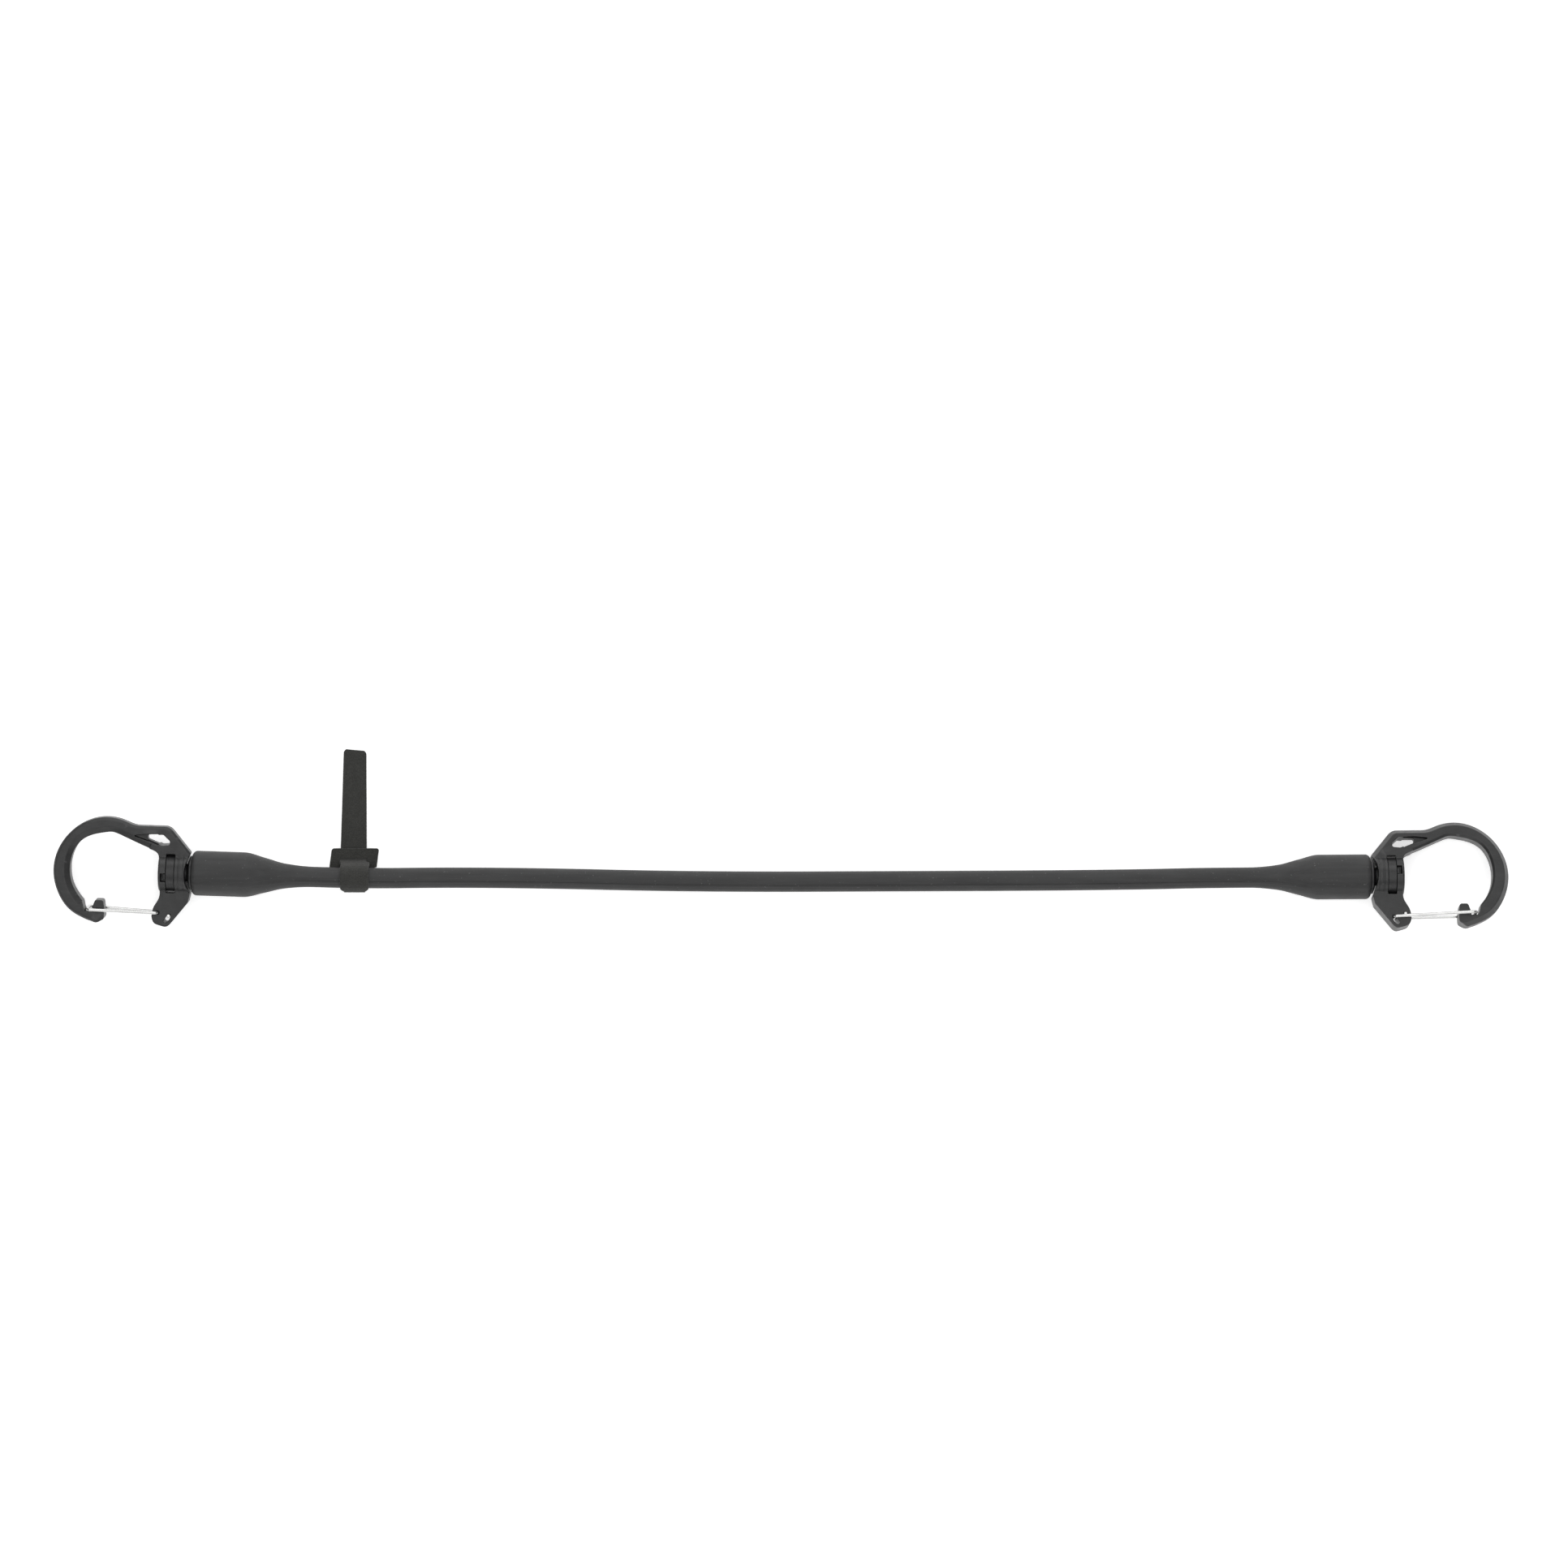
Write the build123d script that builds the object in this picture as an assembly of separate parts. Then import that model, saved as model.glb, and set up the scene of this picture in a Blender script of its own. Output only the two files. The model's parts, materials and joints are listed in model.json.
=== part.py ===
from build123d import *
import math
import os

# Elastic tie-down strap: a solid elastic cord with a moulded bulb on each end, a swivelling
# snap hook with a wire gate in each bulb, and a hook-and-loop tie round the cord.
# Row frame, millimetres: X along the strap, +Y to the hooks' arm side, +Z up. The strap lies
# relaxed on the plane Z = 0.
# Each end is modelled in its own frame: origin on the swivel axis at the bulb's end face,
# +X towards the cord, +Y to the hook's arm side, +Z out of the hook's pivot face.

# Cord and bulbs
CORD_R = 4.3
BULB_R = 9.4
BULB_CORNER = 2.2
BULB_LEN = 21.5
TAPER_LEN = 29.5
END_LEN = BULB_LEN + TAPER_LEN
TAPER_SHOULDER = (30.3, 7.4)
TAPER_NECK = (38.6, 5.3)

# Where each end lies
FACE_X = {"left": -247.0, "right": 246.4}
FACE_Y = {"left": -0.2, "right": -1.8}
YAW = {"left": -1.9, "right": 0.4}
HOOK_TILT = {"left": 7.0, "right": 12.8}

# The cord's line over the ground between its straight leads out of the tapers
CORD_LEAD = 20.0
CORD_ROUTE = [
    (-140.0, -2.1, 8.9),
    (-98.0, -2.5, 7.3),
    (-54.0, -3.6, 5.3),
    (-8.0, -4.0, 4.35),
    (38.0, -3.8, 4.35),
    (84.0, -3.6, 5.3),
    (124.0, -3.3, 7.2),
    (157.0, -2.8, 8.8),
]

# Hook body: reach away from the bulb, side towards the arm
BASE_REACH = 0.6
HOOK_HALF_T = 4.3
BARREL_R = 8.3
BARREL_TO = 13.7
BARREL_EDGE = 0.6
DISH_DEPTH = 2.8
DISH_HALF_W = 8.5
OUTER_BEVEL = {"pivot_face": (0.9, 0.9), "plain_face": (3.2, 1.9)}
INNER_BEVEL = {"pivot_face": (1.4, 2.4), "plain_face": (1.0, 1.0)}
POST_HALF_T = 3.4
POST_TOP = -12.3
POCKET_DEPTH = 2.2

# Swivel
STEM_R = 3.7
STEM_LEN = 12.0
BORE_R = 4.0
BORE_DEPTH = 12.4
GROOVE_R = 2.9
SLOT_FROM = 6.9
SLOT_TO = 10.6
SLOT_HALF_W = 8.2
DISC_R = 7.8
DISC_BORE_R = 3.05
DISC_PLAY = 0.1
COLLAR_R = 7.2
COLLAR_CROWN = 2.4
ANCHOR_R = 5.6
ANCHOR_LEN = 15.0
DISC_SPLIT = 0.1
TAB_SIDE = (-2.2, 0.2)
TAB_REACH = 11.6
TAB_ROOT = 0.5
TAB_HEIGHT = (6.5, 6.9)
NOTCH_SIDE = (-3.2, 0.5)
NOTCH_REACH = 12.7
NOTCH_FLOOR = 4.7

# Wire gate
WIRE_R = 0.7
WIRE_Z = 5.15
WIRE_BEND = 1.4
WIRE_END_Z = 4.6
PIVOT_A = (13.9, -16.7)
PIVOT_B = (9.2, -17.9)
CROSSBAR = (43.4, -16.2)
GATE_OPEN = 32.0
PIN_GAP = 0.15

# Hook-and-loop tie
TIE_X = -179.8
TIE_Y = -2.4
TIE_Z = 9.35
TIE_T = 1.4
TIE_GAP = 0.35
STRAP_W = 12.0
NECK_W = 8.2
WIDE_FROM_Z = 11.0
HEAD_W = 19.2
HEAD_LEAN = 1.1
HEAD_Y = (1.6, 10.1)
SLIT_Y = (3.6, 5.5)
SLIT_W = 11.6
TAIL_LINE = [(4.4, 4.6), (6.6, 2.45), (14.0, 2.0), (27.0, 0.9), (51.4, 0.8)]
TAIL_RADII = [1.6, 1.6, 6.0, 60.0]
TAIL_ROOT_W = 10.9
TAIL_TIP_W = 9.1
TIP_CORNER = 1.0


def plan(*points):
    """Points given as (reach, side), in the end's own X and Y."""
    return [(-reach, side) for reach, side in points]


def end_location(side):
    """Place of one end; the right end is the left one turned over about Y."""
    turned = 0 if side == "left" else 180
    return Pos(FACE_X[side], FACE_Y[side], BULB_R) * Rot(0, 0, YAW[side]) * Rot(0, turned, 0)


def hook_location(side):
    """Place of one hook, rolled on its swivel as it lies."""
    return end_location(side) * Rot(HOOK_TILT[side], 0, 0)


def prism(outline, low, high):
    """Solid over a closed plan outline, from one height to another."""
    face = make_face(outline)
    return extrude(Pos(0, 0, low) * face, amount=high - low)


def block(reach, side, height):
    """Box from its (low, high) reach, side and height."""
    size = [high - low for low, high in (reach, side, height)]
    centre = [(low + high) / 2 for low, high in (reach, side, height)]
    return Pos(-centre[0], centre[1], centre[2]) * Box(*size)


def rod_x(radius, reach_from, reach_to):
    """Round bar on the swivel axis between two reaches."""
    length = reach_to - reach_from
    return Pos(-(reach_from + reach_to) / 2, 0, 0) * Rot(0, 90, 0) * Cylinder(radius, length)


# ------------------------------------------------------------ elastic cord and bulbs
def cord_points():
    left, right = end_location("left"), end_location("right")
    taper_ends = [(end * Pos(END_LEN, 0, 0)).position for end in (left, right)]
    leads = [(end * Pos(END_LEN + CORD_LEAD, 0, 0)).position for end in (left, right)]
    middle = [Vector(*point) for point in CORD_ROUTE]
    return [taper_ends[0], leads[0], *middle, leads[1], taper_ends[1]]


def corner_radii(points):
    """Each corner's arc: 0.45 of the shorter run over the tangent of half the turn."""
    radii = []
    for before, here, after in zip(points, points[1:], points[2:]):
        turn = (here - before).get_angle(after - here)
        shorter = min((here - before).length, (after - here).length)
        radii.append(0.45 * shorter / math.tan(math.radians(turn) / 2))
    return radii


def elastic_cord():
    points = cord_points()
    radii = corner_radii(points)
    line = FilletPolyline(*points, radius=radii)
    start = Plane(origin=line @ 0, z_dir=line % 0)
    tube = sweep(start * Circle(CORD_R), path=line)
    print("cord arc radii", [round(r) for r in radii], "length", round(line.length, 1))
    print("tube volume over section times length", tube.volume / (math.pi * CORD_R**2 * line.length))
    return tube


def bulb_profile():
    """Half section of the bulb and its taper, along X from the end face."""
    face_edge = (0, BULB_R - BULB_CORNER)
    corner_end = (BULB_CORNER, BULB_R)
    taper_start = (BULB_LEN, BULB_R)
    taper_end = (END_LEN, CORD_R)
    middle = [TAPER_SHOULDER, TAPER_NECK]
    return [
        Line((0, 0), face_edge),
        RadiusArc(face_edge, corner_end, BULB_CORNER),
        Line(corner_end, taper_start),
        Spline(taper_start, *middle, taper_end, tangents=[(1, 0), (1, 0)]),
        Line(taper_end, (END_LEN, 0)),
        Line((END_LEN, 0), (0, 0)),
    ]


def end_bulb():
    bulb = revolve(make_face(bulb_profile()), Axis.X)
    return bulb - swivel_stem()


# ------------------------------------------------------------ swivel
def swivel_stem():
    """Stem moulded into the bulb: ribbed anchor, domed collar, shank and grooved end."""
    groove = (SLOT_FROM, SLOT_TO)
    shank_x = -COLLAR_CROWN + STEM_R**2 / (2 * dish_radius())
    rim_x = -COLLAR_CROWN + COLLAR_R**2 / (2 * dish_radius())
    dome_mid_r = (STEM_R + COLLAR_R) / 2
    dome_mid_x = -COLLAR_CROWN + dome_mid_r**2 / (2 * dish_radius())
    outline = [
        Polyline(
            (ANCHOR_LEN, 0),
            (ANCHOR_LEN, ANCHOR_R - 1),
            (ANCHOR_LEN - 1, ANCHOR_R),
            (ANCHOR_LEN - 3, ANCHOR_R),
            (ANCHOR_LEN - 4, STEM_R),
            (7.5, STEM_R),
            (6.5, ANCHOR_R - 0.6),
            (4.5, ANCHOR_R - 0.6),
            (3.5, STEM_R),
            (0, STEM_R),
            (0, COLLAR_R),
            (rim_x, COLLAR_R),
        ),
        ThreePointArc((rim_x, COLLAR_R), (dome_mid_x, dome_mid_r), (shank_x, STEM_R)),
        Polyline(
            (shank_x, STEM_R),
            (-groove[0], STEM_R),
            (-groove[0], GROOVE_R),
            (-groove[1], GROOVE_R),
            (-groove[1], STEM_R),
            (-STEM_LEN + 0.5, STEM_R),
            (-STEM_LEN, STEM_R - 0.5),
            (-STEM_LEN, 0),
            (ANCHOR_LEN, 0),
        ),
    ]
    return revolve(make_face(outline), Axis.X)


def dish_radius():
    """Radius of the hollow that the hook's base is cut to, from its width and depth."""
    rise = DISH_DEPTH - 0.5
    return (DISH_HALF_W**2 + rise**2) / (2 * rise)


def retainer_half(face):
    """Half disc that drops into the hook's slot from one face and rides in the stem's groove."""
    thin = (SLOT_FROM + DISC_PLAY, SLOT_TO - DISC_PLAY)
    disc = rod_x(DISC_R, *thin) - rod_x(DISC_BORE_R, 0, BORE_DEPTH)
    half = disc & block(thin, (-DISC_R, DISC_R), (DISC_SPLIT / 2, DISC_R))
    tab = block((thin[1] - TAB_ROOT, TAB_REACH), TAB_SIDE, TAB_HEIGHT)
    half = half + tab
    return half if face == "top" else Rot(180, 0, 0) * half


# ------------------------------------------------------------ hook body
def outer_curves():
    """From the base's arm-side corner over the arm to the nose's tip."""
    base_top, shoulder = plan((BASE_REACH, 9.0), (8.0, 18.0))
    flat_from, flat_to = plan((11.6, 19.6), (21.6, 19.6))
    crown = plan((28.4, 21.5), (35.4, 22.8), (49.5, 17.4), (57.8, -1.2), (52.6, -14.8))
    nose = plan((42.7, -21.0), (39.8, -21.8), (37.1, -20.6), (36.2, -18.6))
    return [
        Line(base_top, shoulder),
        Spline(shoulder, flat_from, tangents=[(-0.7, 0.72), (-1, 0)]),
        Line(flat_from, flat_to),
        Spline(flat_to, *crown, nose[0], tangents=[(-1, 0), (0.93, -0.36)]),
        Spline(*nose, tangents=[(0.99, -0.14), (0, 1)]),
    ]


def notch_curves():
    """The nose's bulb-side face and the seat of the gate's crossbar."""
    return [Polyline(*plan((36.2, -18.6), (36.2, -17.2), (44.1, -17.2), (44.9, -15.8), (45.5, -12.8)))]


def inner_curves():
    """From the crossbar's seat round the inside of the arm to the ear."""
    inside = plan((45.5, -12.8), (50.9, -1.2), (44.8, 13.7), (36.6, 16.3))
    corner = plan((17.8, 10.2), (13.7, 6.4), (13.9, 0.0), (13.1, -8.6))
    ear_in = plan((15.4, -14.0), (16.4, -18.4))
    return [
        Spline(*inside, corner[0], tangents=[(-0.66, 0.75), (0.92, -0.38)]),
        Spline(*corner[:2], tangents=[(0.92, -0.38), (0, -1)]),
        Spline(*corner[1:], tangents=[(0, -1), (-0.05, -1)]),
        Spline(corner[3], *ear_in, tangents=[(-0.05, -1), (-0.05, -1)]),
    ]


def ear_curves():
    """Round the gate's pivot ear and back up the base to the arm side."""
    points = plan((16.4, -18.4), (15.4, -21.0), (12.2, -22.3), (8.2, -21.0))
    base = plan((8.2, -21.0), (1.3, -12.2), (BASE_REACH, -9.0), (BASE_REACH, 9.0))
    along_base = (base[1][0] - base[0][0], base[1][1] - base[0][1])
    return [Spline(*points, tangents=[(0.2, -1), along_base]), Polyline(*base)]


def edges_along(solid, curves, height):
    """The solid's edges that follow the given plan curves at one height."""
    found = []
    for curve in curves:
        for piece in curve.edges():
            middle = (piece @ 0.5) + Vector(0, 0, height)
            found.append(min(solid.edges(), key=lambda e: (e @ 0.5 - middle).length))
    return found


def bevel(solid, curves, face, height, size):
    """Chamfer one face's rim: size is (depth down the side, width over the face)."""
    rim = edges_along(solid, curves, height)
    top = min(solid.faces(), key=lambda f: abs(f.center().Z - height))
    return chamfer(rim, length=size[1], length2=size[0], reference=top)


def bevel_wedge(curve, height, size):
    """Wedge swept along one rim to cut its bevel: size as for bevel, the material on the left."""
    depth, width = size
    spare = 0.3
    rise = depth * spare / width
    along = curve % 0
    up = Vector(0, 0, math.copysign(1, height))
    inwards = Vector(0, 0, 1).cross(along)
    corner = (curve @ 0) + Vector(0, 0, height)
    spots = [(-spare, -depth - rise), (width + spare, rise), (-spare, rise)]
    points = [corner + inwards * across + up * over for across, over in spots]
    section = make_face(Polyline(*points, close=True))
    return sweep(section, path=Pos(0, 0, height) * curve)


def hook_plate():
    """The flat C-shaped moulding with its bevelled arm."""
    outer, inner = outer_curves(), inner_curves()
    outline = outer + notch_curves() + inner + ear_curves()
    solid = prism(outline, -HOOK_HALF_T, HOOK_HALF_T)
    for face, height in (("pivot_face", HOOK_HALF_T), ("plain_face", -HOOK_HALF_T)):
        solid = bevel(solid, outer[:4], face, height, OUTER_BEVEL[face])
        solid = solid - bevel_wedge(inner[0], height, INNER_BEVEL[face])
    return solid


def nose_post():
    """Narrow post above the nose that passes between the gate's legs."""
    foot = plan((36.3, -18.0), (41.6, -18.0))
    low = plan((36.3, -15.4), (41.4, -15.6))
    top = plan((36.8, POST_TOP), (40.2, POST_TOP))
    outline = Polyline(foot[0], low[0], top[0], top[1], low[1], foot[1], close=True)
    post = prism(outline, -POST_HALF_T, POST_HALF_T)
    upright = [e for e in post.edges().filter_by(Axis.Z) if abs((e @ 0).Y - POST_TOP) < 0.1]
    return fillet(upright, 0.9)


def lanyard_window():
    """Through hole beside the base, and the blind pocket that runs on from it in each face."""
    hole = plan((9.3, 11.9), (12.6, 11.6), (18.6, 14.0), (18.6, 15.9), (12.0, 16.2), (9.2, 13.6))
    window = prism(Polyline(*hole, close=True), -HOOK_HALF_T, HOOK_HALF_T)
    window = fillet(window.edges().filter_by(Axis.Z), 0.7)
    pocket = plan((18.0, 16.4), (23.8, 15.8), (24.2, 15.2), (18.0, 13.2), (14.0, 11.6), (14.0, 16.4))
    line = Polyline(*pocket, close=True)
    floor = HOOK_HALF_T - POCKET_DEPTH
    return window + prism(line, floor, HOOK_HALF_T) + prism(line, -HOOK_HALF_T, -floor)


def swivel_cuts():
    """Bore, retainer slot and the two locking notches, one in each face."""
    bore = rod_x(BORE_R, -1.0, BORE_DEPTH)
    slot = block((SLOT_FROM, SLOT_TO), (-SLOT_HALF_W, SLOT_HALF_W), (-BARREL_R, BARREL_R))
    notch = block((SLOT_TO - TAB_ROOT, NOTCH_REACH), NOTCH_SIDE, (NOTCH_FLOOR, BARREL_R))
    return bore + slot + notch + Rot(180, 0, 0) * notch


def dish():
    """Hollow across the base that leaves room for the stem's domed collar."""
    centre_x = dish_radius() - DISH_DEPTH
    return Pos(centre_x, 0, 0) * Cylinder(dish_radius(), 4 * BARREL_R)


def pivot_cuts():
    """Round hole for the first wire end, and a curved slot about it for the second."""
    hole_r = WIRE_R + PIN_GAP
    a, b = plan(PIVOT_A, PIVOT_B)
    height = 4 * HOOK_HALF_T
    radius = math.dist(a, b)
    start = math.degrees(math.atan2(b[1] - a[1], b[0] - a[0]))
    spots = [start - GATE_OPEN * step for step in (0, 0.5, 1)]
    places = [Vector(*a) + Vector(radius, 0).rotate(Axis.Z, turn) for turn in spots]
    path = ThreePointArc(*places)
    slot = prism(path.offset_2d(hole_r), -height / 2, height / 2)
    return Pos(*a) * Cylinder(hole_r, height) + slot


def hook_body():
    barrel = rod_x(BARREL_R, BASE_REACH, BARREL_TO)
    barrel = chamfer(barrel.faces().sort_by(Axis.X)[0].edges(), BARREL_EDGE)
    body = hook_plate() + barrel + nose_post()
    body = body - dish() - swivel_cuts() - lanyard_window() - pivot_cuts()
    return body


# ------------------------------------------------------------ wire gate
def gate_wire():
    """One bent wire: an end through each pivot, a leg on each face and the crossbar."""
    a, b, bar = plan(PIVOT_A, PIVOT_B, CROSSBAR)
    points = [
        (*a, -WIRE_END_Z),
        (*a, WIRE_Z),
        (*bar, WIRE_Z),
        (*bar, -WIRE_Z),
        (*b, -WIRE_Z),
        (*b, WIRE_END_Z),
    ]
    line = FilletPolyline(*points, radius=WIRE_BEND)
    return sweep(Plane(origin=line @ 0, z_dir=line % 0) * Circle(WIRE_R), path=line)


# ------------------------------------------------------------ hook-and-loop tie
def tie_centreline():
    """Side view of the strap, as (Y, Z): neck, wrap round the cord, slit and tail."""
    wrap_r = CORD_R + TIE_GAP + TIE_T / 2
    centre = Vector(TIE_Y, TIE_Z)
    to_slit = Vector(*TAIL_LINE[0]) - centre
    slit_angle = math.degrees(math.atan2(to_slit.Y, to_slit.X))
    leave_angle = slit_angle + math.degrees(math.acos(wrap_r / to_slit.length))
    leave = centre + Vector(wrap_r, 0).rotate(Axis.Z, leave_angle)
    under = TIE_Z - wrap_r
    wrap = CenterArc(centre, wrap_r, start_angle=-90, arc_size=leave_angle - 270)
    neck = Line((HEAD_Y[0], under), (TIE_Y, under))
    tail = FilletPolyline(leave, *TAIL_LINE, radius=TAIL_RADII)
    return neck, wrap, tail


def strap_band(lines, width):
    """Closed band of the strap's thickness along the given side-view lines."""
    edges = [edge for line in lines for edge in line.edges()]
    outline = Wire(edges).offset_2d(TIE_T / 2)
    face = Plane.YZ * make_face(outline)
    return Pos(-width / 2, 0, 0) * extrude(face, amount=width)


def tie_head():
    """Wide plate, cut on a slant, with the slit that the strap is threaded through."""
    under = TIE_Z - CORD_R - TIE_GAP - TIE_T / 2
    low, high = under - TIE_T / 2, under + TIE_T / 2
    right = [(HEAD_W / 2, HEAD_Y[0]), (HEAD_W / 2 + HEAD_LEAN, HEAD_Y[1])]
    left = [(HEAD_LEAN - HEAD_W / 2, HEAD_Y[1]), (-HEAD_W / 2, HEAD_Y[0])]
    plate = prism(Polyline(*right, *left, close=True), low, high)
    plate = fillet(plate.edges().filter_by(Axis.Z), TIP_CORNER)
    slit = Box(SLIT_W, SLIT_Y[1] - SLIT_Y[0], 2 * TIE_T)
    return plate - Pos(0, sum(SLIT_Y) / 2, under) * slit


def tail_plan():
    """The tail's tapered outline seen from above."""
    root_y, tip_y = SLIT_Y[0], TAIL_LINE[-1][0]
    half_root, half_tip = TAIL_ROOT_W / 2, TAIL_TIP_W / 2
    corners = [
        (-half_root, root_y),
        (half_root, root_y),
        (half_tip, tip_y),
        (-half_tip, tip_y),
    ]
    outline = prism(Polyline(*corners, close=True), -1, 2 * TIE_Z)
    tip = [e for e in outline.edges().filter_by(Axis.Z) if (e @ 0).Y > tip_y - 1]
    return fillet(tip, TIP_CORNER)


def tie_strap():
    """One die-cut piece: head plate, neck under the cord, wrap over it, tail through the slit."""
    neck, wrap, tail = tie_centreline()
    over = strap_band([wrap, tail], STRAP_W)
    narrow = Box(STRAP_W + 1, 4 * CORD_R, WIDE_FROM_Z)
    narrow = Pos(0, TIE_Y - 2 * CORD_R + 4.0, WIDE_FROM_Z / 2) * narrow
    beyond = Pos(0, SLIT_Y[0] + 50, 0) * Box(2 * STRAP_W, 100, 4 * TIE_Z)
    wide = (over - narrow - beyond) + (over & tail_plan())
    thin = strap_band([neck, wrap], NECK_W)
    return Pos(TIE_X, 0, 0) * (wide + thin + tie_head())


def build_all():
    cord = elastic_cord()
    export = {"elastic_cord": cord, "tie_strap": tie_strap()}
    for side in ("left", "right"):
        end, hook = end_location(side), hook_location(side)
        export[f"{side}_end_bulb"] = end * end_bulb()
        export[f"{side}_swivel_stem"] = end * swivel_stem()
        export[f"{side}_retainer_half_top"] = hook * retainer_half("top")
        export[f"{side}_retainer_half_bottom"] = hook * retainer_half("bottom")
        export[f"{side}_hook_body"] = hook * hook_body()
        export[f"{side}_gate_wire"] = hook * gate_wire()
    return export


if __name__ == "__main__":
    os.makedirs("parts", exist_ok=True)
    for name, solid in build_all().items():
        export_step(solid, f"parts/{name}.step")
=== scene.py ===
import json
import math

import bmesh
import bpy
import numpy as np
from mathutils import Matrix, Vector, noise


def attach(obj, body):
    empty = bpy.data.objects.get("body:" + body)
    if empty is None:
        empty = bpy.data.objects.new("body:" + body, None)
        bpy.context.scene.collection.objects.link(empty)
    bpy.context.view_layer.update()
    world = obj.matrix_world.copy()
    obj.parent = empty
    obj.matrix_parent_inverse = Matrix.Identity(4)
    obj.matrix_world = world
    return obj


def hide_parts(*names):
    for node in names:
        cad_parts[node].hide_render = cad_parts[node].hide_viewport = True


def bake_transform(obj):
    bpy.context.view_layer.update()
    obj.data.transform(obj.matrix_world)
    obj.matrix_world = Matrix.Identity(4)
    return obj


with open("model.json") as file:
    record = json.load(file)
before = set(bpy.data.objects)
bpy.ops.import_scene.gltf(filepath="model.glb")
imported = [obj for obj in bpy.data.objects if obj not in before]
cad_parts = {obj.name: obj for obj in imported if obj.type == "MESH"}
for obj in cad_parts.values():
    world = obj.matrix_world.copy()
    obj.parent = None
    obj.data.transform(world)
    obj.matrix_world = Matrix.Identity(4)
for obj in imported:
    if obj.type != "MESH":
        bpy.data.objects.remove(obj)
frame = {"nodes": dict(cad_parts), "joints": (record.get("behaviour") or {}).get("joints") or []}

MM = 0.001
NODES = frame["nodes"]
JOINTS = {joint["name"]: joint for joint in frame["joints"]}
SIDES = ("left", "right")
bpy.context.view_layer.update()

# Camera, straight above the strap, in millimetres
CAMERA_PLACE = (0.85, 37.06, 2300.0)
VIEW_WIDTH = 656.9
VIEW_HEIGHT_AT = 9.4
SENSOR = 36.0

# Cord and bulbs, as in the CAD model; the mould seam is in this script only
SWIVEL_BACK = 8.0
CORD_R = 4.3
CORD_LEAD = 20.0
CORD_ROUTE = [
    (-140.0, -2.1, 8.9),
    (-98.0, -2.5, 7.3),
    (-54.0, -3.6, 5.3),
    (-8.0, -4.0, 4.35),
    (38.0, -3.8, 4.35),
    (84.0, -3.6, 5.3),
    (124.0, -3.3, 7.2),
    (157.0, -2.8, 8.8),
]
BULB_R = 9.4
BULB_CORNER = 2.2
BULB_LEN = 21.5
END_LEN = 51.0
TAPER = [(21.5, 9.4), (30.3, 7.4), (38.6, 5.3), (51.0, 4.3)]
SEAM_LEAN = 26.0
SEAM_GROOVE = (-0.30, -0.22)
SEAM_RIDGE = (0.35, 0.14)
SEAM_SPREAD = 0.24
SEAM_NEAR = 1.0
RING_POINTS = 60
SEAM_POINTS = 17
SHARP_CORNER = math.radians(50)

# Stem's anchor inside the bulb: (reach into the bulb, radius)
ANCHOR = [(0.0, 3.7), (3.5, 3.7), (4.5, 5.0), (6.5, 5.0), (7.5, 3.7), (11.0, 3.7), (12.0, 5.6), (15.0, 5.6)]

# Grid size and smoothing passes for each rounded copy, and the share of the hook's faces kept
HOOK_VOXEL, HOOK_PASSES = 0.19, 4
STEM_VOXEL, STEM_PASSES = 0.16, 4
HALF_VOXEL, HALF_PASSES = 0.16, 3
WIRE_VOXEL, WIRE_PASSES = 0.12, 3
HOOK_FACES = 0.36

# Fine lines turned round the hook's barrel: (place, height, spread)
BARREL_R = 8.3
BARREL_NEAR = 0.45
BARREL_SPAN = (-6.4, -2.6)
BARREL_RINGS = [(3.4, -0.16, 0.18), (4.5, 0.12, 0.16), (5.6, -0.16, 0.18)]

# Hook-and-loop tie; thinner than in the CAD model, and its head a little wider with a shorter slit
TIE_X = -179.8
CORD_AT_TIE = (-2.4, 9.35)
TIE_T = 1.2
TIE_GAP = 0.55
HEAD_Y = (1.6, 10.1)
HEAD_W = 20.0
HEAD_SHIFT = -0.4
HEAD_LEAN = 1.1
SLIT_Y = (3.6, 5.5)
SLIT_W = 10.4
NECK_W = 8.4
STRAP_W = 12.0
STRAP_SHIFT = 0.9
TAIL_W = (11.3, 9.6)
TAIL_SHIFT = (-0.25, 0.3)
TIP_SLANT = 0.7
TAIL_LINE = [(4.4, 4.6), (6.6, 2.45), (14.0, 2.0), (27.0, 1.3), (51.4, 0.95)]
TIE_STEP = 0.3
TIE_EASING = 14
RIPPLE = 0.12
NAP_COARSE, NAP_FINE = 0.03, 0.025

# Floor and light, in metres and watts: (name, place, size, power)
FLOOR_HALF = 4.0
FLOOR_GLOW = 0.55
WORLD_GREY = 0.94
WORLD_STRENGTH = 0.28
SOFTBOXES = [
    ("above", (0, 0.1, 1.5), (2.0, 1.6), 13),
    ("back", (0, 1.5, 0.8), (2.4, 0.9), 14),
    ("front", (0, -1.5, 0.8), (2.4, 0.9), 9),
]


# ------------------------------------------------------------ meshes
def new_object(name, verts, faces):
    mesh = bpy.data.meshes.new(name)
    mesh.from_pydata([tuple(v) for v in verts], [], faces)
    mesh.validate()
    obj = bpy.data.objects.new(name, mesh)
    bpy.context.scene.collection.objects.link(obj)
    tidy_normals(obj)
    return obj


def tidy_normals(obj):
    """Faces turned outwards and shaded smooth."""
    bm = bmesh.new()
    bm.from_mesh(obj.data)
    bmesh.ops.recalc_face_normals(bm, faces=bm.faces)
    for face in bm.faces:
        face.smooth = True
    bm.to_mesh(obj.data)
    bm.free()


def apply_modifiers(obj):
    """Bakes the object's modifiers into its mesh."""
    graph = bpy.context.evaluated_depsgraph_get()
    mesh = bpy.data.meshes.new_from_object(obj.evaluated_get(graph))
    obj.modifiers.clear()
    obj.data = mesh


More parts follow.
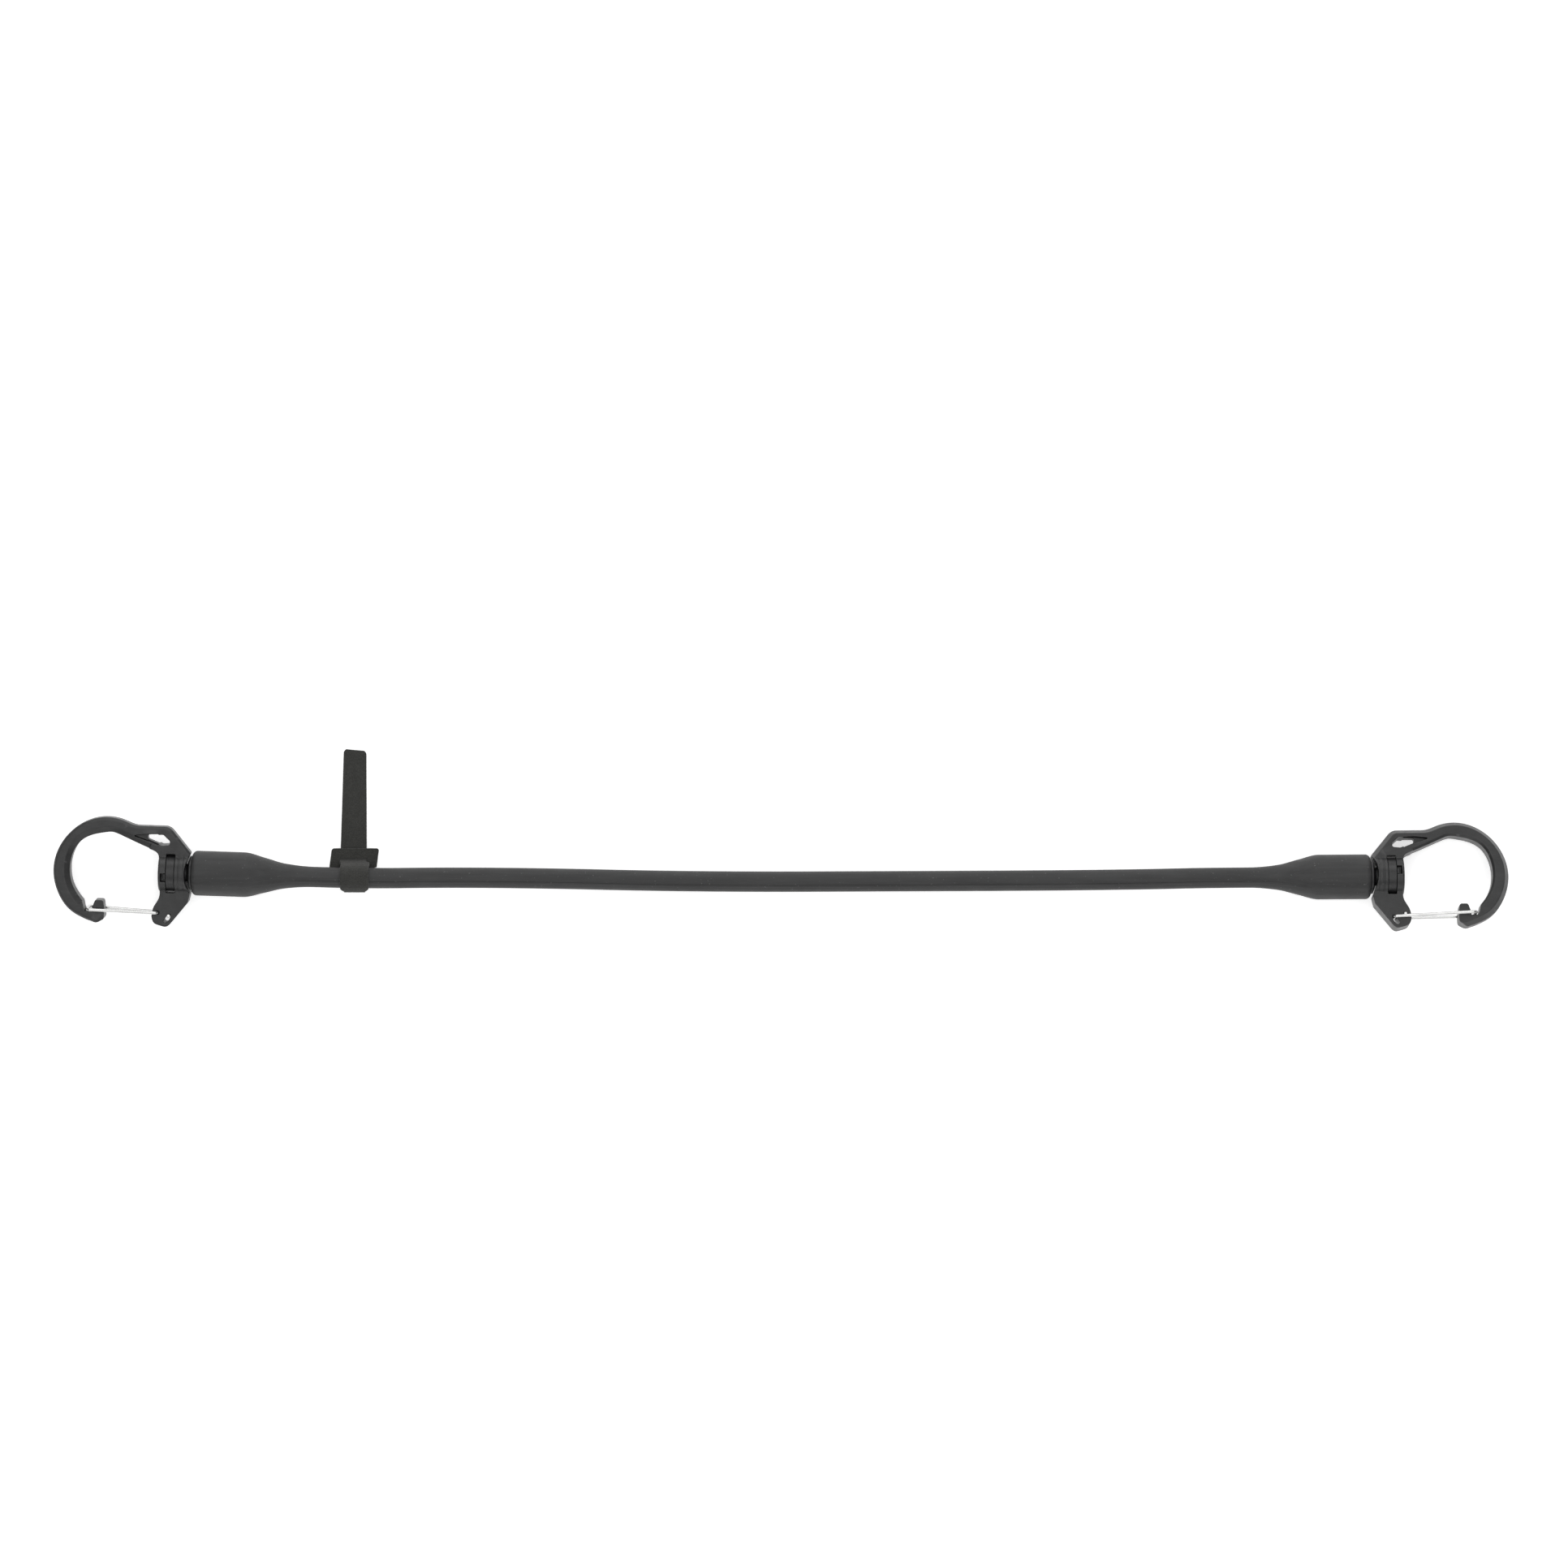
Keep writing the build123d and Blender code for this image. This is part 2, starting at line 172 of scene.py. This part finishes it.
def rings_to_object(name, rings):
    """Closed skin over rings of equal length, with a fan and a sharp rim at each end."""
    count = len(rings[0])
    verts = [point for ring in rings for point in ring]
    faces = []
    for row in range(len(rings) - 1):
        base, above = row * count, (row + 1) * count
        for i in range(count):
            j = (i + 1) % count
            faces.append((base + i, base + j, above + j, above + i))
    for start in (0, (len(rings) - 1) * count):
        centre = len(verts)
        verts.append(sum((Vector(p) for p in verts[start:start + count]), Vector()) / count)
        faces += [(centre, start + i, start + (i + 1) % count) for i in range(count)]
    obj = new_object(name, verts, faces)
    obj.data.set_sharp_from_angle(angle=SHARP_CORNER)
    return obj


# ------------------------------------------------------------ ends and the cord's line
def hook_frame(side):
    """One end's own frame, in metres: X from the bulb's face to the cord, Z out of the pivot face."""
    swivel, gate = JOINTS[f"{side}_swivel"], JOINTS[f"{side}_gate"]
    x = Vector(swivel["axis"]).normalized()
    z = -Vector(gate["axis"]).normalized()
    y = z.cross(x)
    origin = Vector(swivel["pos_m"]) + x * SWIVEL_BACK * MM
    turn = Matrix((x, y, z)).transposed().to_4x4()
    return Matrix.Translation(origin) @ turn


def end_point(side, reach):
    """Point on one end's axis, reach millimetres from the bulb's face towards the cord."""
    return hook_frame(side) @ Vector((reach * MM, 0, 0))


def route_points():
    middle = [Vector(point) * MM for point in CORD_ROUTE]
    left = [end_point("left", END_LEN), end_point("left", END_LEN + CORD_LEAD)]
    right = [end_point("right", END_LEN + CORD_LEAD), end_point("right", END_LEN)]
    return left + middle + right


def smooth_line(points, name):
    """Points along the NURBS curve that has the given control points."""
    curve = bpy.data.curves.new(name, "CURVE")
    curve.dimensions = "3D"
    curve.resolution_u = 40
    spline = curve.splines.new("NURBS")
    spline.points.add(len(points) - 1)
    for spot, point in zip(spline.points, points):
        spot.co = (*point, 1)
    spline.order_u = 3
    spline.use_endpoint_u = True
    obj = bpy.data.objects.new(name, curve)
    mesh = bpy.data.meshes.new_from_object(obj)
    line = [vert.co.copy() for vert in mesh.vertices]
    bpy.data.objects.remove(obj)
    bpy.data.curves.remove(curve)
    bpy.data.meshes.remove(mesh)
    return line


# ------------------------------------------------------------ rubber with its mould seam
def seam_angles():
    """Angles round a ring, closer together at the two seams."""
    even = np.linspace(0, 2 * math.pi, RING_POINTS, endpoint=False)
    near = np.linspace(-SEAM_NEAR, SEAM_NEAR, SEAM_POINTS) / CORD_R
    seams = [(seam + offset) % (2 * math.pi) for seam in (0, math.pi) for offset in near]
    kept = [angle for angle in even if abs(math.remainder(angle, math.pi)) > near[-1] + 0.03]
    return sorted(kept + seams)


def seam_height(arc):
    """Groove and fine flash beside it, over the distance from the seam in millimetres."""
    bumps = (SEAM_GROOVE, SEAM_RIDGE)
    return sum(rise * math.exp(-(((arc - at) / SEAM_SPREAD) ** 2)) for at, rise in bumps)


def rubber_ring(centre, along, radius, seam, angles):
    """One ring of the moulding, seam first; along runs from the left end to the right."""
    lean = math.radians(SEAM_LEAN)
    up = Vector((0, -math.sin(lean), math.cos(lean)))
    first = (up - up.dot(along) * along).normalized()
    second = along.cross(first)
    ring = []
    for angle in angles:
        arc = math.remainder(angle, math.pi) * CORD_R
        reach = float(radius + seam * seam_height(arc)) * MM
        ring.append(centre + reach * (math.cos(angle) * first + math.sin(angle) * second))
    return ring


def elastic_cord():
    line = smooth_line(route_points(), "cord_line")
    angles = seam_angles()
    rings = []
    for i, point in enumerate(line):
        along = (line[min(i + 1, len(line) - 1)] - line[max(i - 1, 0)]).normalized()
        rings.append(rubber_ring(point, along, CORD_R, 1.0, angles))
    cord = rings_to_object("cord", rings)
    finish_with(cord, rubber_material())
    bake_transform(cord)
    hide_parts("elastic_cord")
    return cord


def taper_radius(reach):
    """Radius of the taper: a smooth curve through its four stations, level at both ends."""
    xs, rs = zip(*TAPER)
    slopes = [0] + [(rs[i + 1] - rs[i - 1]) / (xs[i + 1] - xs[i - 1]) for i in (1, 2)] + [0]
    i = min(max(int(np.searchsorted(xs, reach)) - 1, 0), len(xs) - 2)
    span = xs[i + 1] - xs[i]
    t = (reach - xs[i]) / span
    start = (1 + 2 * t) * (1 - t) ** 2 * rs[i] + t * (1 - t) ** 2 * span * slopes[i]
    finish = t * t * (3 - 2 * t) * rs[i + 1] + t * t * (t - 1) * span * slopes[i + 1]
    return start + finish


def bulb_stations():
    """(reach, radius, seam strength) from the anchor's hollow over the face to the cord."""
    hollow = [(reach, radius, 0.0) for reach, radius in reversed(ANCHOR)]
    face = [(0.0, radius, 0.0) for radius in (4.4, 5.6, 6.6)]
    turns = np.linspace(-math.pi / 2, 0, 9)
    corner = [
        (BULB_CORNER * (1 + math.sin(turn)), BULB_R - BULB_CORNER * (1 - math.cos(turn)), 0.4)
        for turn in turns
    ]
    body = [(reach, BULB_R, 0.45) for reach in np.linspace(3.5, BULB_LEN - 0.5, 10)]
    reaches = np.linspace(BULB_LEN, END_LEN, 40)
    taper = [(r, taper_radius(r), 0.45 + 0.55 * (r - BULB_LEN) / (END_LEN - BULB_LEN)) for r in reaches]
    return hollow + face + corner + body + taper


def end_bulb(side):
    along = (end_point(side, 1) - end_point(side, 0)).normalized()
    along = along if side == "left" else -along
    angles = seam_angles()
    rings = [
        rubber_ring(end_point(side, reach), along, radius, seam, angles)
        for reach, radius, seam in bulb_stations()
    ]
    bulb = rings_to_object(f"{side}_bulb", rings)
    finish_with(bulb, rubber_material())
    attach(bulb, "root" if side == "left" else "right_end")
    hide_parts(f"{side}_end_bulb")


# ------------------------------------------------------------ moulded plastic
def moulded_copy(node, name, voxel, passes):
    """The node's shape on a fine grid, with every edge rounded."""
    obj = bpy.data.objects.new(name, NODES[node].data.copy())
    obj.data.materials.clear()
    bpy.context.scene.collection.objects.link(obj)
    skin = obj.modifiers.new("skin", "REMESH")
    skin.mode = "VOXEL"
    skin.voxel_size = voxel * MM
    edges = obj.modifiers.new("edges", "SMOOTH")
    edges.factor = 0.5
    edges.iterations = passes
    apply_modifiers(obj)
    return obj


def ring_grooves(obj, side):
    """Fine turned lines round the barrel between its slot and its dish."""
    from_end = hook_frame(side)
    to_end = from_end.inverted()
    for vert in obj.data.vertices:
        local = to_end @ vert.co / MM
        radius = math.hypot(local.y, local.z)
        if abs(radius - BARREL_R) > BARREL_NEAR or not BARREL_SPAN[0] < local.x < BARREL_SPAN[1]:
            continue
        rise = sum(h * math.exp(-(((-local.x - at) / w) ** 2)) for at, h, w in BARREL_RINGS)
        scale = (radius + rise) / radius
        vert.co = from_end @ (Vector((local.x, local.y * scale, local.z * scale)) * MM)


def hook(side):
    body = moulded_copy(f"{side}_hook_body", f"{side}_hook_moulding", HOOK_VOXEL, HOOK_PASSES)
    ring_grooves(body, side)
    fewer = body.modifiers.new("fewer", "DECIMATE")
    fewer.ratio = HOOK_FACES
    apply_modifiers(body)
    tidy_normals(body)
    finish_with(body, nylon_material())
    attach(body, f"{side}_hook")
    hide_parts(f"{side}_hook_body")


def swivel(side):
    stem = moulded_copy(f"{side}_swivel_stem", f"{side}_stem", STEM_VOXEL, STEM_PASSES)
    tidy_normals(stem)
    finish_with(stem, swivel_material())
    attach(stem, "root" if side == "left" else "right_end")
    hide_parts(f"{side}_swivel_stem")
    for face in ("top", "bottom"):
        node = f"{side}_retainer_half_{face}"
        half = moulded_copy(node, f"{side}_retainer_{face}", HALF_VOXEL, HALF_PASSES)
        tidy_normals(half)
        finish_with(half, swivel_material())
        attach(half, f"{side}_hook")
        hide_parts(node)


def gate(side):
    wire = moulded_copy(f"{side}_gate_wire", f"{side}_gate_bent_wire", WIRE_VOXEL, WIRE_PASSES)
    tidy_normals(wire)
    finish_with(wire, steel_material())
    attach(wire, f"{side}_gate")
    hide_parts(f"{side}_gate_wire")


# ------------------------------------------------------------ hook-and-loop tie
def tie_side_line():
    """Side view of the strap in (Y, Z), evenly spaced: head, neck, wrap, slit and tail."""
    centre_y, centre_z = CORD_AT_TIE
    wrap_r = CORD_R + TIE_GAP + TIE_T / 2
    reach_y, reach_z = TAIL_LINE[0][0] - centre_y, TAIL_LINE[0][1] - centre_z
    reach = math.hypot(reach_y, reach_z)
    leave = math.atan2(reach_z, reach_y) + math.acos(wrap_r / reach)
    turns = np.linspace(-math.pi / 2, leave - 2 * math.pi, 60)
    wrap = [(centre_y + wrap_r * math.cos(a), centre_z + wrap_r * math.sin(a)) for a in turns]
    corners = [(HEAD_Y[1], centre_z - wrap_r)] + wrap + TAIL_LINE
    return rounded_line(np.array(corners, float), TIE_STEP, TIE_EASING)


def rounded_line(corners, step, passes):
    """The line through the corners, resampled evenly and eased at each of them."""
    runs = np.linalg.norm(np.diff(corners, axis=0), axis=1)
    along = np.concatenate([[0], np.cumsum(runs)])
    count = int(along[-1] / step) + 1
    spots = np.linspace(0, along[-1], count)
    line = np.stack([np.interp(spots, along, corners[:, k]) for k in (0, 1)], axis=1)
    for _ in range(passes):
        line[1:-1] = 0.25 * line[:-2] + 0.5 * line[1:-1] + 0.25 * line[2:]
    return line


def tie_edges(line):
    """For each station along the strap, its middle and half width in X."""
    runs = np.linalg.norm(np.diff(line, axis=0), axis=1)
    along = np.concatenate([[0], np.cumsum(runs)])
    neck_from = HEAD_Y[1] - HEAD_Y[0]
    low = int(np.argmin(line[:, 0]))
    slit_at = low + int(np.argmin(abs(line[low:, 0] - TAIL_LINE[0][0])))
    wide_from = along[low] + 1.6
    slit_from, end = along[slit_at] - 0.8, along[-1]
    stations = [
        (0, HEAD_SHIFT, HEAD_W / 2 - 0.7), (0.7, HEAD_SHIFT, HEAD_W / 2),
        (neck_from - 0.3, HEAD_SHIFT, HEAD_W / 2), (neck_from + 0.3, 0, NECK_W / 2),
        (wide_from, STRAP_SHIFT, NECK_W / 2 + 0.3), (wide_from + 1.9, STRAP_SHIFT, STRAP_W / 2),
        (slit_from - 1.4, STRAP_SHIFT, STRAP_W / 2),
        (slit_from, TAIL_SHIFT[0], TAIL_W[0] / 2), (end - 1.1, TAIL_SHIFT[1], TAIL_W[1] / 2),
        (end, TAIL_SHIFT[1], TAIL_W[1] / 2 - 0.9),
    ]
    at, middle, half = zip(*stations)
    return along, np.interp(along, at, middle), np.interp(along, at, half)


def tie_grid(line, along, middle, half):
    """Points and faces of the strap's middle surface, left open at the slit."""
    slit_edge = SLIT_W / HEAD_W
    across = np.concatenate([
        np.linspace(-1, -slit_edge, 6), np.linspace(-slit_edge, slit_edge, 17)[1:-1],
        np.linspace(slit_edge, 1, 6),
    ])
    verts = []
    for s, x_mid, x_half, (y, z) in zip(along, middle, half, line):
        lean = HEAD_LEAN * max(0.0, 1 - s / (HEAD_Y[1] - HEAD_Y[0]))
        tip = max(0.0, 1 - (along[-1] - s) / 6.0)
        for u in across:
            x = TIE_X + x_mid + u * x_half + lean
            ripple = RIPPLE * noise.noise(Vector((x * 0.12, s * 0.09, 4.2)))
            verts.append(Vector((x, y - TIP_SLANT * tip * u / 2, z + ripple)) * MM)
    columns = len(across)
    head_rows = HEAD_Y[1] - along
    faces = []
    for row in range(len(line) - 1):
        y = (head_rows[row] + head_rows[row + 1]) / 2
        for column in range(columns - 1):
            u = (across[column] + across[column + 1]) / 2
            if SLIT_Y[0] < y < SLIT_Y[1] and abs(u) < slit_edge:
                continue
            first = row * columns + column
            faces.append((first, first + 1, first + columns + 1, first + columns))
    return verts, faces


def raise_nap(strap):
    """The short pile of the cloth, as small bumps along the surface."""
    normals = [vert.normal.copy() for vert in strap.data.vertices]
    for vert, normal in zip(strap.data.vertices, normals):
        coarse = noise.noise(vert.co / MM * 1.6) * NAP_COARSE
        nap = coarse + noise.noise(vert.co / MM * 4.5) * NAP_FINE
        vert.co += normal * nap * MM


def tie():
    """The strap as a thin cloth band: its middle surface, thickened and softened."""
    line = tie_side_line()
    along, middle, half = tie_edges(line)
    strap = new_object("tie", *tie_grid(line, along, middle, half))
    thick = strap.modifiers.new("thick", "SOLIDIFY")
    thick.thickness = TIE_T * MM
    thick.offset = 0
    soft = strap.modifiers.new("soft", "SUBSURF")
    soft.levels = soft.render_levels = 2
    apply_modifiers(strap)
    raise_nap(strap)
    tidy_normals(strap)
    finish_with(strap, cloth_material())
    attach(strap, "tie")
    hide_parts("tie_strap")
    return strap


# ------------------------------------------------------------ materials
def link(tree, kind, settings=(), **inputs):
    """A node with its properties and inputs set; an input may be a value or a socket."""
    node = tree.nodes.new(kind)
    for key, value in dict(settings).items():
        setattr(node, key, value)
    for key, value in inputs.items():
        socket = node.inputs[int(key[1:])] if key[1:].isdigit() else node.inputs[key.replace("_", " ")]
        if isinstance(value, bpy.types.NodeSocket):
            tree.links.new(value, socket)
        else:
            socket.default_value = value
    return node


def new_material(name, **values):
    """A material with its shader's plain values set, and the object's coordinates in millimetres."""
    material = bpy.data.materials.new(name)
    material.use_nodes = True
    tree = material.node_tree
    shader = tree.nodes["Principled BSDF"]
    for key, value in values.items():
        shader.inputs[key.replace("_", " ")].default_value = value
    place = tree.nodes.new("ShaderNodeTexCoord").outputs["Object"]
    scaled = link(tree, "ShaderNodeMapping", Vector=place, Scale=(1000, 1000, 1000))
    return material, tree, shader, scaled.outputs[0]


def stretched(tree, place, scale):
    return link(tree, "ShaderNodeMapping", Vector=place, Scale=scale).outputs[0]


def cloudy(tree, place, per_mm, detail=3.0, rough=0.55):
    """Noise from 0 to 1 with that many features to a millimetre."""
    return link(
        tree, "ShaderNodeTexNoise", Vector=place, Scale=per_mm, Detail=detail, Roughness=rough
    ).outputs["Fac"]


def ramp(tree, factor, stops):
    """Colour ramp over (position, grey or colour) stops."""
    node = link(tree, "ShaderNodeValToRGB", Fac=factor)
    while len(node.color_ramp.elements) < len(stops):
        node.color_ramp.elements.new(0.5)
    for element, (position, colour) in zip(node.color_ramp.elements, stops):
        rgb = colour if isinstance(colour, tuple) else (colour, colour, colour)
        element.position = position
        element.color = (*rgb, 1)
    return node.outputs["Color"]


def mixed(tree, factor, first, second, how="MIX"):
    settings = {"data_type": "RGBA", "blend_type": how}
    node = link(tree, "ShaderNodeMix", settings, _0=factor, _6=first, _7=second)
    return node.outputs[2]


def bumped(tree, shader, layers):
    """Bump layers, each (height socket, depth in millimetres), chained into the shader."""
    normal = None
    for height, depth in layers:
        node = link(tree, "ShaderNodeBump", Height=height, Distance=depth * MM, Strength=1.0)
        if normal is not None:
            tree.links.new(normal, node.inputs["Normal"])
        normal = node.outputs["Normal"]
    tree.links.new(normal, shader.inputs["Normal"])


MADE = {}


def once(build):
    """Keeps each material, so that every piece of that stuff shares it."""
    def kept():
        if build.__name__ not in MADE:
            MADE[build.__name__] = build()
        return MADE[build.__name__]
    return kept


@once
def nylon_material():
    """Glass-filled nylon: spark-eroded grain, flow streaks, and a painted highlight that lightens its
    convex edges.
    """
    material, tree, shader, place = new_material("nylon", IOR=1.5)
    grain = cloudy(tree, place, 7.0, detail=2.0)
    flow = cloudy(tree, stretched(tree, place, (0.10, 0.28, 0.28)), 1.0, detail=5.0, rough=0.65)
    patches = cloudy(tree, place, 0.35, detail=4.0)
    base = ramp(tree, flow, [(0.32, (0.0115, 0.0116, 0.0118)), (0.72, (0.022, 0.0222, 0.0225))])
    specks = ramp(tree, cloudy(tree, place, 3.2, detail=1.0), [(0.70, 0.0), (0.78, 1.0)])
    base = mixed(tree, specks, base, (0.040, 0.040, 0.041, 1))
    # Painted highlight: convex edges, found by pointiness, are painted in a lighter grey.
    edge = tree.nodes.new("ShaderNodeNewGeometry").outputs["Pointiness"]
    edge_highlight = ramp(tree, edge, [(0.505, 0.0), (0.56, 0.75)])
    base = mixed(tree, edge_highlight, base, (0.052, 0.052, 0.053, 1))
    tree.links.new(base, shader.inputs["Base Color"])
    rough = ramp(tree, patches, [(0.3, 0.34), (0.7, 0.45)])
    tree.links.new(rough, shader.inputs["Roughness"])
    bumped(tree, shader, [(grain, 0.016), (patches, 0.05)])
    return material


@once
def swivel_material():
    """Unfilled plastic of the stem and retainer, smoother and a little darker."""
    material, tree, shader, place = new_material("swivel_plastic", IOR=1.48)
    streak = cloudy(tree, stretched(tree, place, (2.2, 0.3, 0.3)), 1.0, detail=4.0)
    base = ramp(tree, streak, [(0.3, (0.011, 0.011, 0.0115)), (0.75, (0.021, 0.021, 0.0215))])
    tree.links.new(base, shader.inputs["Base Color"])
    rough = ramp(tree, cloudy(tree, place, 0.6), [(0.3, 0.34), (0.7, 0.46)])
    tree.links.new(rough, shader.inputs["Roughness"])
    bumped(tree, shader, [(cloudy(tree, place, 8.0), 0.008), (streak, 0.012)])
    return material


@once
def steel_material():
    """Polished stainless wire with faint drawing lines along it."""
    material, tree, shader, place = new_material("gate_steel", Metallic=1.0)
    lines = cloudy(tree, stretched(tree, place, (0.12, 3.0, 3.0)), 1.0, detail=2.0)
    base = ramp(tree, lines, [(0.3, (0.60, 0.60, 0.595)), (0.7, (0.66, 0.66, 0.65))])
    tree.links.new(base, shader.inputs["Base Color"])
    rough = ramp(tree, cloudy(tree, place, 0.8), [(0.3, 0.14), (0.7, 0.20)])
    tree.links.new(rough, shader.inputs["Roughness"])
    bumped(tree, shader, [(lines, 0.001)])
    return material


@once
def rubber_material():
    """Matte elastomer: lengthwise flow, fine pores, pale flecks of dust, and painted shade darkening the
    seam's groove and other hollows.
    """
    material, tree, shader, place = new_material("elastomer", IOR=1.5)
    flow = cloudy(tree, stretched(tree, place, (0.035, 0.5, 0.5)), 1.0, detail=5.0, rough=0.6)
    patches = cloudy(tree, place, 0.22, detail=5.0, rough=0.6)
    pores = cloudy(tree, place, 6.0, detail=2.0)
    base = ramp(tree, flow, [(0.30, (0.015, 0.0151, 0.0153)), (0.72, (0.031, 0.0312, 0.0315))])
    dull = ramp(tree, patches, [(0.35, 0.0), (0.75, 0.45)])
    base = mixed(tree, dull, base, (0.040, 0.040, 0.0405, 1))
    flecks = ramp(tree, cloudy(tree, place, 1.5, detail=0.0), [(0.795, 0.0), (0.83, 0.8)])
    base = mixed(tree, flecks, base, (0.095, 0.095, 0.095, 1))
    # Painted shade: hollows such as the seam's groove, found by low pointiness, are multiplied darker.
    edge = tree.nodes.new("ShaderNodeNewGeometry").outputs["Pointiness"]
    base = mixed(tree, 1.0, base, ramp(tree, edge, [(0.44, 0.15), (0.49, 1.0)]), "MULTIPLY")
    tree.links.new(base, shader.inputs["Base Color"])
    rough = ramp(tree, patches, [(0.3, 0.54), (0.7, 0.68)])
    tree.links.new(rough, shader.inputs["Roughness"])
    bumped(tree, shader, [(pores, 0.014), (flow, 0.03)])
    return material


@once
def cloth_material():
    """Brushed loop cloth: a knitted ground under a short tangled nap."""
    material, tree, shader, place = new_material(
        "loop_cloth", Roughness=0.92, Sheen_Weight=0.09, Sheen_Roughness=0.5
    )
    nap = cloudy(tree, place, 2.6, detail=6.0, rough=0.7)
    tangle = link(
        tree, "ShaderNodeTexVoronoi", {"feature": "SMOOTH_F1"}, Vector=place, Scale=2.8, Randomness=1.0
    ).outputs["Distance"]
    courses = link(
        tree, "ShaderNodeTexWave", {"bands_direction": "Y"}, Vector=place, Scale=0.62,
        Distortion=2.5, Detail=2.0,
    ).outputs["Fac"]
    patches = cloudy(tree, place, 0.3, detail=4.0)
    base = ramp(tree, nap, [(0.30, (0.017, 0.0172, 0.0155)), (0.72, (0.056, 0.056, 0.051))])
    shade = ramp(tree, patches, [(0.3, 0.80), (0.7, 1.0)])
    base = mixed(tree, 1.0, base, shade, "MULTIPLY")
    tree.links.new(base, shader.inputs["Base Color"])
    bumped(tree, shader, [(courses, 0.05), (tangle, 0.16), (nap, 0.14)])
    return material


def finish_with(obj, material):
    obj.data.materials.clear()
    obj.data.materials.append(material)


# ------------------------------------------------------------ camera, floor and light
def camera():
    data = bpy.data.cameras.new("camera")
    data.sensor_width = SENSOR
    data.lens = SENSOR * (CAMERA_PLACE[2] - VIEW_HEIGHT_AT) / VIEW_WIDTH
    data.clip_start, data.clip_end = 0.05, 20
    obj = bpy.data.objects.new("camera", data)
    obj.location = Vector(CAMERA_PLACE) * MM
    bpy.context.scene.collection.objects.link(obj)
    bpy.context.scene.camera = obj


def floor():
    corners = [(x * FLOOR_HALF, y * FLOOR_HALF, 0) for x, y in ((-1, -1), (1, -1), (1, 1), (-1, 1))]
    obj = new_object("floor", corners, [(0, 1, 2, 3)])
    material = bpy.data.materials.new("floor_white")
    material.use_nodes = True
    shader = material.node_tree.nodes["Principled BSDF"]
    shader.inputs["Base Color"].default_value = (0.9, 0.9, 0.9, 1)
    shader.inputs["Roughness"].default_value = 0.9
    shader.inputs["Emission Color"].default_value = (1, 1, 1, 1)
    shader.inputs["Emission Strength"].default_value = FLOOR_GLOW
    obj.data.materials.append(material)


def softbox(name, place, size, power):
    """A soft rectangle of light aimed at the strap."""
    data = bpy.data.lights.new(name, "AREA")
    data.shape = "RECTANGLE"
    data.size, data.size_y = size
    data.energy = power
    obj = bpy.data.objects.new(name, data)
    obj.location = place
    obj.rotation_euler = (-Vector(place)).to_track_quat("-Z", "Y").to_euler()
    obj.visible_camera = False
    bpy.context.scene.collection.objects.link(obj)


def light():
    scene = bpy.context.scene
    scene.view_settings.view_transform = "Standard"
    world = bpy.data.worlds.new("studio")
    world.use_nodes = True
    background = world.node_tree.nodes["Background"]
    background.inputs["Color"].default_value = (WORLD_GREY, WORLD_GREY, WORLD_GREY, 1)
    background.inputs["Strength"].default_value = WORLD_STRENGTH
    scene.world = world
    for box in SOFTBOXES:
        softbox(*box)


# ------------------------------------------------------------ making
camera()
tie_piece = tie()
elastic_cord()
for end_side in SIDES:
    end_bulb(end_side)
    swivel(end_side)
    hook(end_side)
    gate(end_side)
floor()
light()
